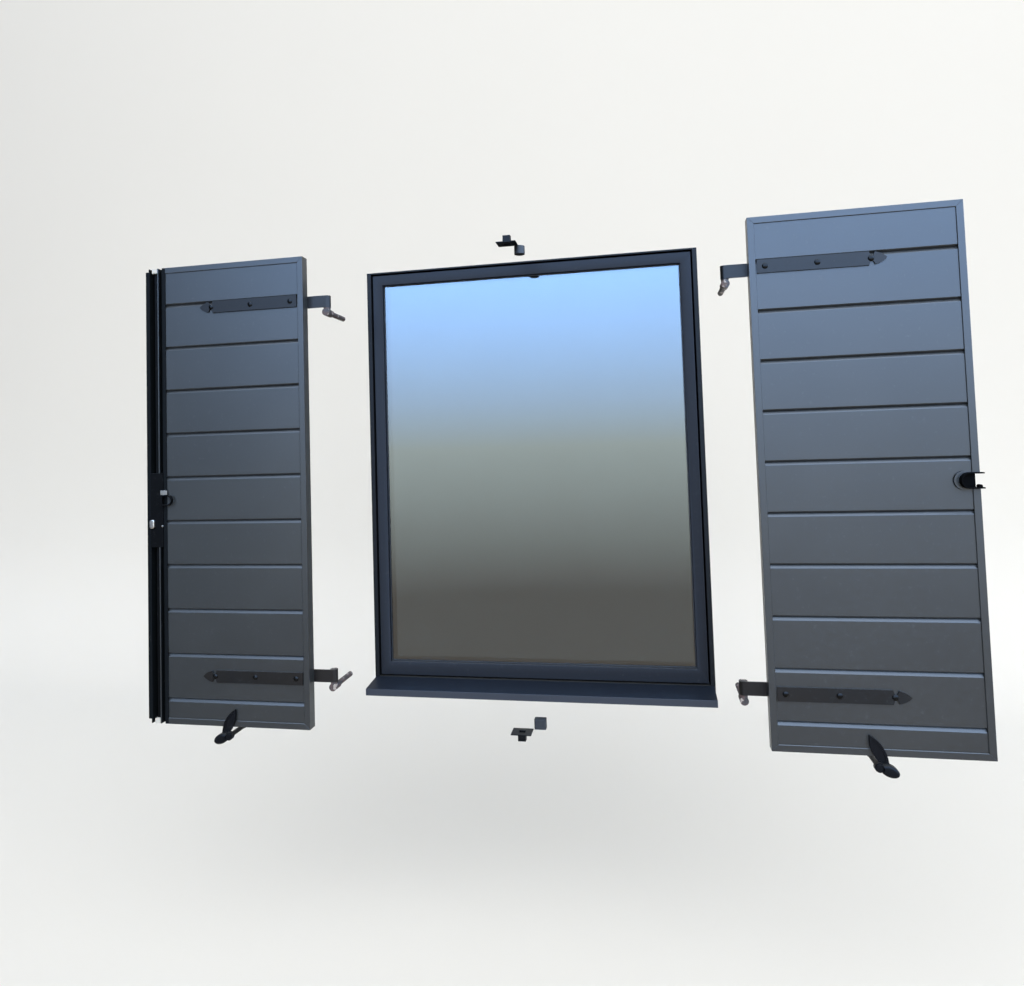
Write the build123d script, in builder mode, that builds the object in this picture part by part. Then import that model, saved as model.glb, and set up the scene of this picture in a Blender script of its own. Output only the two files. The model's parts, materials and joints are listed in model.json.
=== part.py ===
"""A pair of board shutters folded open on their pintles, with the window frame that they close off.

X runs to the right as seen from outside, Y runs into the wall and Z up. The origin is the middle of
the opening at the wall's face. The leaves are modelled open, flat along the wall, as they rest.
"""

from build123d import *
import os
from math import cos, radians, sin

os.makedirs("parts", exist_ok=True)

# Opening in the wall and the place of the leaves in it
opening_half_width = 467.0
leaf_height = 1240.0
jamb_gap = 2.0
meeting_gap = 3.0
meeting_shift = 2.0
pintle_setback = 49.5
pintle_projection = 22.0
lintel_gap = 4.0
ledge_gap = 5.0

# Leaf construction
leaf_thickness = 28.0
profile_wall = 2.0
lip_width = 16.0
lip_bevel = 1.0
panel_play = 0.3
top_board_height = 105.3
foot_board_height = 65.5
board_count = 11
bevel_depth = 5.0
upper_bevel = 6.5
lower_bevel = 4.5
tongue_thickness = 8.0
tongue_height = 7.0
joint_play = 0.2

# Lock stile of the left leaf, measured from its body's free edge inwards
lock_stile_width = 51.0
lock_stile_web = 10.0
latch_groove_width = 11.0
latch_groove_depth = 13.0
fin_width = 3.5
rod_channel_width = 24.0
rod_channel_depth = 22.0
astragal_width = 51.0
astragal_overlap = 31.0
astragal_thickness = 3.0
astragal_relief = 0.5

# Strap hinges, counter-straps and their bolts
strap_height = 32.0
strap_thickness = 4.0
strap_length = 330.0
upper_strap_drop = 119.0
lower_strap_rise = 130.0
counter_strap_start = 18.0
counter_strap_flat = 246.0
spear_neck = 13.0
spear_shoulder = 3.0
spear_waist = 13.0
spear_barb = 4.0
spear_width = 29.0
spear_belly = 20.0
spear_length = 26.0
first_bolt = 36.0
bolt_spacing = 116.0
bolt_count = 3
bolt_radius = 4.0
bolt_play = 0.2
bolt_head_radius = 7.0
bolt_head_height = 3.0
bolt_head_shoulder = 2.25
bolt_head_shoulder_radius = 4.9
bolt_head_crown = 2.0
nut_radius = 7.5
nut_height = 5.0
nut_bevel = 1.0

# Pintles
pin_radius = 6.0
pin_clearance = 0.06
eye_wall = 4.0
pin_tip = 1.0
shoulder_radius = 9.0
shoulder_height = 2.7
pintle_bar_radius = 10.0
pintle_bar_beyond = 11.0
tang_radius = 7.0
tang_length = 80.0

# Holdbacks below the leaves
holdback_reach = 225.0
holdback_drop = 21.0
holdback_thickness = 6.0
holdback_boss_radius = 10.5
holdback_boss_thickness = 11.0
holdback_head_thickness = 18.0
holdback_clearance = 0.3
blade_length = 82.0
blade_width = 25.0
blade_lean = 26.0
blade_foot_width = 16.0
blade_foot = 14.0
blade_belly = 50.0
blade_rim = 4.0
blade_hollow = 2.0
head_offset = 20.0
head_drop = 6.0
head_length = 42.0
head_width = 25.0
head_tilt = 22.0
head_round = 6.0
shank_radius = 6.0
shank_collar_radius = 8.5
shank_collar = 4.0
shank_tang = 70.0
shank_tang_radius = 7.0
shank_cap = 2.5
shank_cap_radius = 8.0

# Locking rods, lock case and handle
rod_width = 12.0
rod_thickness = 8.0
rod_edge_offset = 18.0
rod_travel = 18.0
rod_play = 0.2
rod_chamfer = 1.5
rod_engagement = 40.0
rod_end_setback = 4.0
rod_depth = 13.0
guide_width = 16.0
guide_height = 13.0
lock_top = 53.0
lock_height = 201.0
lock_plate = 1.5
seat_play = 0.3
handle_z = -21.0
hub_radius = 9.0
spindle_radius = 4.0
spindle_length = 10.0
spindle_play = 0.05
spindle_end_gap = 1.0
handle_reach = 37.0
handle_width = 29.0
handle_height = 9.0
handle_wall = 3.0
latch_drop = 138.0
latch_height = 23.0
latch_width = 14.0
latch_thickness = 6.0
latch_round = 5.0
latch_edge = 2.0
screw_drop = 144.0
screw_radius = 2.6
screw_height = 0.8
handle_stop_width = 19.0
handle_stop_height = 12.0
handle_stop_thickness = 4.0

# Cup catch on the right leaf
catch_overhang = 3.0
catch_width = 47.0
catch_height = 36.0
catch_depth = 15.0
catch_wall = 3.0
catch_notch = 11.0
catch_centre_z = -11.0
catch_floor = 2.0
flange_shift = 7.0
flange_width = 3.0
catch_post_radius = 4.0
catch_post_setback = 9.0

# Window in the reveal
window_setback = 140.0
window_top = 613.0
window_bottom = -560.0
frame_depth = 65.0
frame_strip = 12.0
head_strip = 4.0
sash_gap = 4.0
sash_recess = 6.0
sash_width = 24.0
sash_foot = 35.0
sash_bottom = -539.0
sash_overlap = 7.0
overlap_thickness = 6.0
bead_width = 4.0
bead_depth = 12.0
bead_edge = 1.0
gasket_width = 3.0
gasket_thickness = 2.0
glass_thickness = 24.0
glass_cover = 8.0
glass_play = 0.5

# Sill
sill_front = 60.0
sill_front_top = -552.0
sill_back_top = -543.0
sill_lip = 18.0
sill_sheet = 3.0
sill_end_gap = 3.0

# Keepers for the rods and stops for the closed leaves, in the masonry
keeper_length = 52.0
keeper_depth = 42.0
keeper_thickness = 2.5
keeper_slot_play = 2.5
keeper_wall = 1.5
stop_length = 30.0
stop_depth = 20.0
stop_height = 25.0
stop_x = 21.0
stop_play = 1.0
stop_round = 3.0
plug_radius = 14.0
plug_height = 22.0
plug_x = 5.0

# Places that follow from the values above
leaf_top = leaf_height / 2
leaf_bottom = -leaf_height / 2
board_pitch = (leaf_height - top_board_height - foot_board_height) / (board_count - 2)
axis_x = opening_half_width + pintle_setback
edge_offset = axis_x - (opening_half_width - jamb_gap)
hinge_edge = axis_x + edge_offset
axis_y = -pintle_projection
eye_radius = pin_radius + pin_clearance + eye_wall
leaf_back = axis_y - eye_radius
leaf_front = leaf_back - leaf_thickness
closed_inner_face = 2 * axis_y - leaf_front
panel_front = leaf_front + profile_wall + panel_play
panel_back = leaf_back - profile_wall - panel_play
panel_middle = (panel_front + panel_back) / 2
left_body_width = opening_half_width - jamb_gap - meeting_gap - meeting_shift
right_body_width = opening_half_width - jamb_gap + meeting_shift
board_field_end = {"left": left_body_width - lock_stile_width, "right": right_body_width - lip_width}
strap_levels = {"upper": leaf_top - upper_strap_drop, "lower": leaf_bottom + lower_strap_rise}
sides = {"left": -1, "right": 1}
bolt_places = [first_bolt + bolt_spacing * n for n in range(bolt_count)]


def facade_plane(y):
    """A plane parallel to the wall at depth y, facing outwards, with its own y axis up."""
    return Plane(origin=(0, y, 0), x_dir=(1, 0, 0), z_dir=(0, -1, 0))


def section_plane(x):
    """A plane across the leaf at x, with its own x axis along Y and its own y axis up."""
    return Plane(origin=(x, 0, 0), x_dir=(0, 1, 0), z_dir=(1, 0, 0))


def leaf_x(side, s):
    """The X of a point that lies s away from the hinge edge of one open leaf."""
    return sides[side] * (hinge_edge + s)


def catch_notch_face():
    """The cut-out in the right leaf's free edge that the cup catch frames."""
    with BuildSketch(Plane.XY, mode=Mode.PRIVATE) as face:
        with Locations((leaf_x("right", right_body_width), catch_centre_z)):
            Rectangle(2 * catch_notch, catch_height - 2 * catch_wall)
    return face.sketch


def save(part, name):
    """Label one finished piece and write its file."""
    part.label = name
    export_step(part, f"parts/{name}.step")


# Perimeter profiles: a channel that holds the boards, with its lips facing inwards

def channel_outline(web, inner, front, back):
    """Corner points of a channel section as pairs of (place across, depth)."""
    way = 1 if inner > web else -1
    wall = way * profile_wall
    bevel = way * lip_bevel
    return [
        (web, front), (inner - bevel, front), (inner, front + lip_bevel), (inner, front + profile_wall),
        (web + wall, front + profile_wall), (web + wall, back - profile_wall),
        (inner, back - profile_wall), (inner, back), (web, back),
    ]


def stile(side, name, s_web, s_inner, inward, notched=False):
    """An upright edge profile, mitred at both ends. inward is +1 where the lip points to larger s."""
    with BuildPart() as bar:
        with BuildSketch(Plane.XY.offset(leaf_bottom)):
            with BuildLine():
                outline = channel_outline(s_web, s_inner, leaf_front, leaf_back)
                Polyline([(leaf_x(side, s), y) for s, y in outline], close=True)
            make_face()
        extrude(amount=leaf_height)
        outer = leaf_x(side, s_web)
        inner = leaf_x(side, s_web + inward * lip_width)
        for z, way in ((leaf_top, -1), (leaf_bottom, 1)):
            with BuildSketch(facade_plane(leaf_back)):
                with BuildLine():
                    Polyline([(outer, z), (inner, z), (inner, z + way * lip_width)], close=True)
                make_face()
            extrude(amount=leaf_thickness, mode=Mode.SUBTRACT)
        if notched:
            extrude(facade_plane(leaf_back) * catch_notch_face(), amount=leaf_thickness, mode=Mode.SUBTRACT)
    save(bar.part, name)


def rail(side, name, z_web, way, s_end, mitred_end):
    """A level edge profile between the stiles. way is +1 where its lip points up."""
    with BuildPart() as bar:
        start = min(leaf_x(side, 0), leaf_x(side, s_end))
        with BuildSketch(section_plane(start)):
            with BuildLine():
                outline = channel_outline(z_web, z_web + way * lip_width, leaf_front, leaf_back)
                Polyline([(y, z) for z, y in outline], close=True)
            make_face()
        extrude(amount=s_end)
        corners = [(0, 1)] + ([(s_end, -1)] if mitred_end else [])
        for s, inward in corners:
            outer = leaf_x(side, s)
            inner = leaf_x(side, s + inward * lip_width)
            with BuildSketch(facade_plane(leaf_back)):
                with BuildLine():
                    Polyline([(outer, z_web), (inner, z_web + way * lip_width),
                              (outer, z_web + way * lip_width)], close=True)
                make_face()
            extrude(amount=leaf_thickness, mode=Mode.SUBTRACT)
    save(bar.part, name)


stile("right", "right_hinge_stile", 0, lip_width, 1)
stile("right", "right_meeting_stile", right_body_width, right_body_width - lip_width, -1, notched=True)
rail("right", "right_top_rail", leaf_top, -1, right_body_width, True)
rail("right", "right_bottom_rail", leaf_bottom, 1, right_body_width, True)
stile("left", "left_hinge_stile", 0, lip_width, 1)
rail("left", "left_top_rail", leaf_top, -1, board_field_end["left"], False)
rail("left", "left_bottom_rail", leaf_bottom, 1, board_field_end["left"], False)

# Lock stile: one extrusion with a board pocket, a latch groove, a fin and the rod channel
lock_inner = left_body_width - lock_stile_width
groove_start = lock_inner + lock_stile_web
groove_end = groove_start + latch_groove_width
channel_start = groove_end + fin_width
channel_end = channel_start + rod_channel_width
with BuildPart() as lock_stile:
    with BuildSketch(Plane.XY.offset(leaf_bottom)):
        with BuildLine():
            pocket = groove_start - profile_wall
            outline = [
                (lock_inner, leaf_front), (groove_start, leaf_front),
                (groove_start, leaf_front + latch_groove_depth),
                (groove_end, leaf_front + latch_groove_depth), (groove_end, leaf_front),
                (channel_start, leaf_front), (channel_start, leaf_front + rod_channel_depth),
                (channel_end, leaf_front + rod_channel_depth), (channel_end, leaf_front),
                (left_body_width, leaf_front), (left_body_width, leaf_back), (lock_inner, leaf_back),
                (lock_inner, leaf_back - profile_wall), (pocket, leaf_back - profile_wall),
                (pocket, leaf_front + profile_wall), (lock_inner, leaf_front + profile_wall),
            ]
            Polyline([(leaf_x("left", s), y) for s, y in outline], close=True)
        make_face()
    extrude(amount=leaf_height)
save(lock_stile.part, "lock_stile")

# Astragal: a flat bar on the outer face of the left leaf that laps over the right one when closed
with BuildPart() as astragal:
    with BuildSketch(Plane.XY.offset(leaf_bottom)):
        with BuildLine():
            inner = left_body_width + astragal_overlap - astragal_width
            lap = left_body_width - astragal_relief
            tip = left_body_width + astragal_overlap
            outline = [
                (inner, leaf_back), (lap, leaf_back), (lap, leaf_back + astragal_relief),
                (tip, leaf_back + astragal_relief), (tip, leaf_back + astragal_thickness),
                (inner, leaf_back + astragal_thickness),
            ]
            Polyline([(leaf_x("left", s), y) for s, y in outline], close=True)
        make_face()
    extrude(amount=leaf_height)
save(astragal.part, "astragal")

# Boards: tongued and grooved planks laid level, with a V-groove between each two on both faces

def board_levels():
    """The lower and upper level of each board, from the top down."""
    top = leaf_top - profile_wall - panel_play
    bottom = leaf_bottom + profile_wall + panel_play
    joints = [leaf_top - top_board_height - board_pitch * n for n in range(board_count - 1)]
    return list(zip(joints + [bottom], [top] + joints))


def board_outline(low, high, first, last):
    """Half a board's section as pairs of (half thickness, level), from its top to its foot."""
    half = (panel_back - panel_front) / 2
    flat = half - bevel_depth
    tongue = tongue_thickness / 2
    top = high if first else high - joint_play
    upper = [(0, top), (half, top)] if first else [
        (0, top + tongue_height), (tongue, top + tongue_height), (tongue, top), (flat, top),
        (half, top - upper_bevel),
    ]
    slot = tongue + joint_play
    lower = [(half, low), (0, low)] if last else [
        (half, low + lower_bevel), (flat, low), (slot, low),
        (slot, low + tongue_height), (0, low + tongue_height),
    ]
    return upper + lower


for side in sides:
    lip_end = {"left": groove_start - profile_wall, "right": right_body_width - profile_wall}[side]
    start_s = profile_wall + panel_play
    length = lip_end - panel_play - start_s
    start_x = min(leaf_x(side, start_s), leaf_x(side, start_s + length))
    for number, (low, high) in enumerate(board_levels()):
        with BuildPart() as board:
            with BuildSketch(section_plane(start_x)):
                with BuildLine():
                    half = board_outline(low, high, number == 0, number == board_count - 1)
                    front_side = [(panel_middle - t, z) for t, z in half]
                    back_side = [(panel_middle + t, z) for t, z in reversed(half[1:-1])]
                    Polyline(front_side + back_side, close=True)
                make_face()
            extrude(amount=length)
            for level in strap_levels.values():
                if low < level < high:
                    with BuildSketch(facade_plane(panel_back)):
                        with Locations([(leaf_x(side, s), level) for s in bolt_places]):
                            Circle(bolt_radius + bolt_play)
                    extrude(amount=panel_back - panel_front, mode=Mode.SUBTRACT)
            if side == "right" and low < catch_centre_z < high:
                extrude(facade_plane(panel_back) * catch_notch_face(), amount=panel_back - panel_front,
                        mode=Mode.SUBTRACT)
        save(board.part, f"{side}_board_{number + 1:02d}")

# Strap hinges: a flat bar on the outer face, rolled round the pintle and ending in a spear

def strap_outline(side, start, end, level):
    """Draw a flat bar from start to end with a pinched neck and a spear whose barbs are rounded."""
    half = strap_height / 2
    waist = spear_waist / 2
    barb = end + spear_neck

    def at(s, z):
        return (leaf_x(side, s), level + z)

    for way in (1, -1):
        Polyline(at(start, 0), at(start, way * half), at(end, way * half),
                 at(end + spear_shoulder, way * waist), at(barb - spear_barb, way * waist),
                 at(barb, way * spear_width / 2))
        ThreePointArc(at(barb, way * spear_width / 2),
                      at(barb + spear_length / 2, way * spear_belly / 2),
                      at(barb + spear_length, 0))


for side in sides:
    for place, level in strap_levels.items():
        with BuildPart() as strap:
            with BuildSketch(facade_plane(leaf_back + strap_thickness)):
                with BuildLine():
                    strap_outline(side, -edge_offset, strap_length - spear_length - spear_neck, level)
                make_face()
                with Locations([(leaf_x(side, s), level) for s in bolt_places]):
                    Circle(bolt_radius + bolt_play, mode=Mode.SUBTRACT)
            extrude(amount=strap_thickness)
            with BuildSketch(Plane.XY.offset(level - strap_height / 2)):
                with Locations((sides[side] * axis_x, axis_y)):
                    Circle(eye_radius)
            extrude(amount=strap_height)
            with BuildSketch(Plane.XY.offset(level - strap_height / 2)):
                with Locations((sides[side] * axis_x, axis_y)):
                    Circle(pin_radius + pin_clearance)
            extrude(amount=strap_height, mode=Mode.SUBTRACT)
        save(strap.part, f"{side}_{place}_strap")

        with BuildPart() as counter_strap:
            with BuildSketch(facade_plane(panel_front)):
                with BuildLine():
                    strap_outline(side, counter_strap_start, counter_strap_start + counter_strap_flat, level)
                make_face()
                with Locations([(leaf_x(side, s), level) for s in bolt_places]):
                    Circle(bolt_radius + bolt_play, mode=Mode.SUBTRACT)
            extrude(amount=strap_thickness)
        save(counter_strap.part, f"{side}_{place}_counter_strap")

    # Bolts through strap, board and counter-strap: a low dome inside, a nut on the wall side
    with BuildPart() as bolts:
        head_face = panel_front - strap_thickness
        crown = head_face - bolt_head_height
        nut_face = leaf_back + strap_thickness
        nut_end = nut_face + nut_height
        for level in strap_levels.values():
            for s in bolt_places:
                x = leaf_x(side, s)
                with BuildSketch(Plane(origin=(x, 0, level), x_dir=(0, 1, 0), z_dir=(1, 0, 0))):
                    with BuildLine():
                        Polyline(
                            (crown, bolt_head_crown), (crown, 0), (nut_end, 0),
                            (nut_end, nut_radius - nut_bevel), (nut_end - nut_bevel, nut_radius),
                            (nut_face, nut_radius), (nut_face, bolt_radius),
                            (head_face, bolt_radius), (head_face, bolt_head_radius),
                        )
                        ThreePointArc((head_face, bolt_head_radius),
                                      (head_face - bolt_head_shoulder, bolt_head_shoulder_radius),
                                      (crown, bolt_head_crown))
                    make_face()
                revolve(axis=Axis((x, 0, level), (0, 1, 0)))
    save(bolts.part, f"{side}_bolts")

# Pintles: a round bar out of the wall with an upright pin, a shoulder and a tang in the masonry
with BuildPart() as pintles:
    for side in sides:
        for level in strap_levels.values():
            foot = level - strap_height / 2 - seat_play
            centre = foot - shoulder_height - pintle_bar_radius
            x = sides[side] * axis_x
            with BuildSketch(facade_plane(0)):
                with Locations((x, centre)):
                    Circle(pintle_bar_radius)
            extrude(amount=pintle_projection + pintle_bar_beyond)
            with BuildSketch(facade_plane(tang_length)):
                with Locations((x, centre)):
                    Circle(tang_radius)
            extrude(amount=tang_length)
            with BuildSketch(Plane.XY.offset(centre)):
                with Locations((x, axis_y)):
                    Circle(shoulder_radius)
            extrude(amount=foot - centre)
            with BuildSketch(Plane.XY.offset(centre)):
                with Locations((x, axis_y)):
                    Circle(pin_radius)
            extrude(amount=foot - centre + seat_play + strap_height + pin_tip)
            chamfer(pintles.faces().filter_by(Plane.XY).sort_by(Axis.Z)[-1].edges(), pin_tip / 2)
save(pintles.part, "pintles")

# Holdbacks: a leaf-shaped blade with a heavy oval foot, turning on a shank fixed in the wall
holdback_x = hinge_edge + holdback_reach
holdback_z = leaf_bottom - holdback_drop
holdback_face = leaf_front - holdback_clearance
holdback_lean = radians(blade_lean)


def blade_point(way, across, up):
    """A point of one blade, turned by its lean towards the window about the head's middle."""
    x = across * cos(holdback_lean) - up * sin(holdback_lean)
    z = across * sin(holdback_lean) + up * cos(holdback_lean)
    return (way * (holdback_x + head_offset + x), holdback_z - head_drop + z)


def blade_outline(way, inset):
    """Draw a pointed leaf from its foot in the head to its tip, smaller by the inset all round."""
    half = blade_width / 2 - inset
    foot = blade_foot_width / 2 - inset
    low = blade_foot + inset
    tip = blade_point(way, 0, blade_length - 2 * inset)
    for turn in (1, -1):
        ThreePointArc(blade_point(way, turn * foot, low), blade_point(way, turn * half, blade_belly), tip)
    Line(blade_point(way, foot, low), blade_point(way, -foot, low))


for side, way in sides.items():
    with BuildPart() as holdback:
        with BuildSketch(facade_plane(holdback_face)):
            with BuildLine():
                blade_outline(way, 0)
            make_face()
            with Locations(blade_point(way, 0, blade_foot / 2)):
                Rectangle(blade_foot_width, blade_foot * 2, rotation=way * blade_lean)
        extrude(amount=holdback_thickness)
        with BuildSketch(facade_plane(holdback_face - holdback_thickness + blade_hollow)):
            with BuildLine():
                blade_outline(way, blade_rim)
            make_face()
        extrude(amount=blade_hollow, mode=Mode.SUBTRACT)
        with BuildSketch(facade_plane(holdback_face)):
            with Locations(blade_point(way, 0, 0)):
                Ellipse(head_length / 2, head_width / 2, rotation=-way * head_tilt)
        extrude(amount=holdback_head_thickness)
        fillet(holdback.faces().sort_by(Axis.Y)[0].edges(), head_round)
        with BuildSketch(facade_plane(holdback_face)):
            with Locations((way * holdback_x, holdback_z)):
                Circle(holdback_boss_radius)
        extrude(amount=holdback_boss_thickness)
        with BuildSketch(facade_plane(holdback_face)):
            with Locations((way * holdback_x, holdback_z)):
                Circle(shank_radius + pin_clearance)
        extrude(amount=holdback_boss_thickness, mode=Mode.SUBTRACT)
        with BuildSketch(facade_plane(holdback_face - holdback_boss_thickness)):
            with Locations((way * holdback_x, holdback_z)):
                Circle(shank_cap_radius + seat_play)
        extrude(amount=holdback_head_thickness, mode=Mode.SUBTRACT)
    save(holdback.part, f"{side}_holdback")

with BuildPart() as shanks:
    for way in sides.values():
        centre = (way * holdback_x, holdback_z)
        neck_end = holdback_face - holdback_boss_thickness - seat_play
        with BuildSketch(facade_plane(shank_tang)):
            with Locations(centre):
                Circle(shank_tang_radius)
        extrude(amount=shank_tang)
        with BuildSketch(facade_plane(0)):
            with Locations(centre):
                Circle(shank_radius)
        extrude(amount=-neck_end)
        with BuildSketch(facade_plane(holdback_face + seat_play + shank_collar)):
            with Locations(centre):
                Circle(shank_collar_radius)
        extrude(amount=shank_collar)
        with BuildSketch(facade_plane(neck_end)):
            with Locations(centre):
                Circle(shank_cap_radius)
        extrude(amount=shank_cap)
save(shanks.part, "holdback_shanks")

# Lock case: a block in the rod channel and one in the latch groove, joined by a face plate
rod_s = left_body_width - rod_edge_offset
rod_y = leaf_front + rod_depth
lock_bottom = lock_top - lock_height
handle_s = (groove_start + groove_end) / 2
latch_x = leaf_x("left", channel_end - latch_width / 2)
latch_z = lock_top - latch_drop
with BuildPart() as lock_case:
    with BuildSketch(Plane.XY.offset(lock_bottom)):
        with BuildLine():
            plate_back = leaf_front - seat_play
            plate_front = plate_back - lock_plate
            outline = [
                (groove_start + seat_play, plate_front), (channel_end - seat_play, plate_front),
                (channel_end - seat_play, leaf_front + rod_channel_depth - seat_play),
                (channel_start + seat_play, leaf_front + rod_channel_depth - seat_play),
                (channel_start + seat_play, plate_back), (groove_end - seat_play, plate_back),
                (groove_end - seat_play, leaf_front + latch_groove_depth - seat_play),
                (groove_start + seat_play, leaf_front + latch_groove_depth - seat_play),
            ]
            Polyline([(leaf_x("left", s), y) for s, y in outline], close=True)
        make_face()
    extrude(amount=lock_height)
    for z_start in (lock_top - rod_engagement, lock_bottom):
        with BuildSketch(Plane.XY.offset(z_start)):
            with Locations((leaf_x("left", rod_s), rod_y)):
                Rectangle(rod_width + 2 * rod_play, rod_thickness + 2 * rod_play)
        extrude(amount=rod_engagement, mode=Mode.SUBTRACT)
    with BuildSketch(facade_plane(plate_front + spindle_length)):
        with Locations((leaf_x("left", handle_s), handle_z)):
            Circle(spindle_radius + spindle_play)
    extrude(amount=spindle_length, mode=Mode.SUBTRACT)
save(lock_case.part, "lock_case")

# Bright parts on the lock's face: latch tongue, screw and the stop above the handle
with BuildPart() as latch:
    with BuildSketch(facade_plane(plate_front)):
        with Locations((latch_x, latch_z)):
            RectangleRounded(latch_width, latch_height, latch_round)
    extrude(amount=latch_thickness)
    fillet(latch.faces().sort_by(Axis.Y)[0].edges(), latch_edge)
    with BuildSketch(facade_plane(plate_front)):
        with Locations((leaf_x("left", handle_s - screw_radius), lock_top - screw_drop)):
            Circle(screw_radius)
    extrude(amount=screw_height)
    with BuildSketch(facade_plane(plate_front)):
        stop_foot = handle_z + handle_width / 2 + seat_play
        with Locations((leaf_x("left", handle_s) + handle_stop_width / 2, stop_foot + handle_stop_height / 2)):
            Rectangle(handle_stop_width, handle_stop_height)
    extrude(amount=handle_stop_thickness)
save(latch.part, "latch_tongue")

# Handle: a half-moon pull on a hub whose spindle turns in the lock case
with BuildPart() as handle:
    hub_face = plate_front - seat_play
    hub_x = leaf_x("left", handle_s)
    with BuildSketch(facade_plane(hub_face)):
        with Locations((hub_x, handle_z)):
            Circle(hub_radius)
    extrude(amount=handle_height)
    arc_radius = handle_width / 2
    arc_centre = hub_x + handle_reach - arc_radius
    with BuildSketch(facade_plane(hub_face)):
        with Locations((arc_centre, handle_z)):
            Circle(arc_radius)
        with Locations(((hub_x + arc_centre) / 2, handle_z)):
            Rectangle(arc_centre - hub_x, handle_width)
        with Locations((arc_centre, handle_z)):
            Circle(arc_radius - handle_wall, mode=Mode.SUBTRACT)
        with Locations(((hub_x + hub_radius + arc_centre) / 2, handle_z)):
            Rectangle(arc_centre - hub_x - hub_radius, handle_width - 2 * handle_wall, mode=Mode.SUBTRACT)
    extrude(amount=handle_height)
    with BuildSketch(facade_plane(plate_front + spindle_length - spindle_end_gap)):
        with Locations((hub_x, handle_z)):
            Circle(spindle_radius)
    extrude(amount=spindle_length - spindle_end_gap + seat_play)
save(handle.part, "lock_handle")

# Locking rods in the channel, drawn in while the leaf is open
for name, way in (("upper_rod", 1), ("lower_rod", -1)):
    inner_end = lock_top if way > 0 else lock_bottom
    start = inner_end - way * (rod_engagement - seat_play)
    end = way * (leaf_top - rod_end_setback)
    with BuildPart() as rod:
        with BuildSketch(Plane.XY.offset(min(start, end))):
            with Locations((leaf_x("left", rod_s), rod_y)):
                Rectangle(rod_width, rod_thickness)
        extrude(amount=abs(end - start))
        chamfer(rod.faces().sort_by(Axis.Z)[-1 if way > 0 else 0].edges(), rod_chamfer)
    save(rod.part, name)

# Rod guides: a block at each end of the channel
with BuildPart() as guides:
    for z_start in (leaf_top - guide_height, leaf_bottom):
        with BuildSketch(Plane.XY.offset(z_start)):
            y_front = leaf_front + seat_play
            y_back = leaf_front + rod_channel_depth - seat_play
            with Locations((leaf_x("left", rod_s), (y_front + y_back) / 2)):
                Rectangle(guide_width, y_back - y_front)
            with Locations((leaf_x("left", rod_s), rod_y)):
                Rectangle(rod_width + 2 * rod_play, rod_thickness + 2 * rod_play, mode=Mode.SUBTRACT)
        extrude(amount=guide_height)
save(guides.part, "rod_guides")

# Cup catch at the right leaf's free edge: a half-moon wall that stands proud and opens outwards
with BuildPart() as catch:
    outer_s = right_body_width + catch_overhang
    inner_s = outer_s - catch_width
    half = catch_height / 2
    arc_s = inner_s + half
    wall_y = leaf_front - seat_play
    with BuildSketch(facade_plane(panel_front - seat_play)):
        seat_end = right_body_width - lip_width - seat_play
        with Locations((leaf_x("right", arc_s - flange_shift), catch_centre_z)):
            Circle(half + flange_width)
        with Locations((leaf_x("right", seat_end + catch_height), catch_centre_z)):
            Rectangle(2 * catch_height, 2 * catch_height, mode=Mode.SUBTRACT)
    extrude(amount=panel_front - seat_play - wall_y)
    with BuildSketch(facade_plane(wall_y)):
        with Locations((leaf_x("right", arc_s - flange_shift), catch_centre_z)):
            Circle(half + flange_width)
        with Locations((leaf_x("right", arc_s), catch_centre_z)):
            Circle(half)
        with Locations((leaf_x("right", (arc_s + outer_s) / 2), catch_centre_z)):
            Rectangle(outer_s - arc_s, catch_height)
        add(catch_notch_face(), mode=Mode.SUBTRACT)
    extrude(amount=catch_floor)
    with BuildSketch(facade_plane(wall_y - catch_floor)):
        with Locations((leaf_x("right", arc_s), catch_centre_z)):
            Circle(half)
        with Locations((leaf_x("right", (arc_s + outer_s) / 2), catch_centre_z)):
            Rectangle(outer_s - arc_s, catch_height)
        with Locations((leaf_x("right", arc_s), catch_centre_z)):
            Circle(half - catch_wall, mode=Mode.SUBTRACT)
        with Locations((leaf_x("right", (arc_s + outer_s) / 2), catch_centre_z)):
            Rectangle(outer_s - arc_s, catch_height - 2 * catch_wall, mode=Mode.SUBTRACT)
        post_z = catch_centre_z - half + catch_wall / 2 + catch_post_radius
        with Locations((leaf_x("right", outer_s - catch_post_setback), post_z)):
            Circle(catch_post_radius)
    extrude(amount=catch_depth - catch_floor)
save(catch.part, "catch_cup")

# Window: a welded outer frame, a sash set back in it, the glazing unit and its gasket

def ring(half_width, low, high, jamb, head, foot):
    """A rectangular ring in the facade, as wide as given at its jambs, head and foot."""
    with BuildSketch(Plane.XY, mode=Mode.PRIVATE) as face:
        with Locations((0, (low + high) / 2)):
            Rectangle(2 * half_width, high - low)
        with Locations((0, (low + foot + high - head) / 2)):
            Rectangle(2 * (half_width - jamb), high - head - low - foot, mode=Mode.SUBTRACT)
    return face.sketch


frame_front = window_setback
frame_back = frame_front + frame_depth
sash_front = frame_front + sash_recess
sash_back = frame_back + seat_play
sash_half = opening_half_width - frame_strip - sash_gap
sash_top = window_top - head_strip - sash_gap
light_half = sash_half - sash_width - bead_width
light_top = sash_top - sash_width - bead_width
light_bottom = sash_bottom + sash_foot
glass_front = sash_front + bead_depth + gasket_thickness
glass_back = glass_front + glass_thickness
with BuildPart() as outer_frame:
    foot = sash_bottom - sash_gap - window_bottom
    extrude(facade_plane(frame_back) * ring(opening_half_width, window_bottom, window_top,
                                            frame_strip, head_strip, foot), amount=frame_depth)
save(outer_frame.part, "outer_frame")

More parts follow.
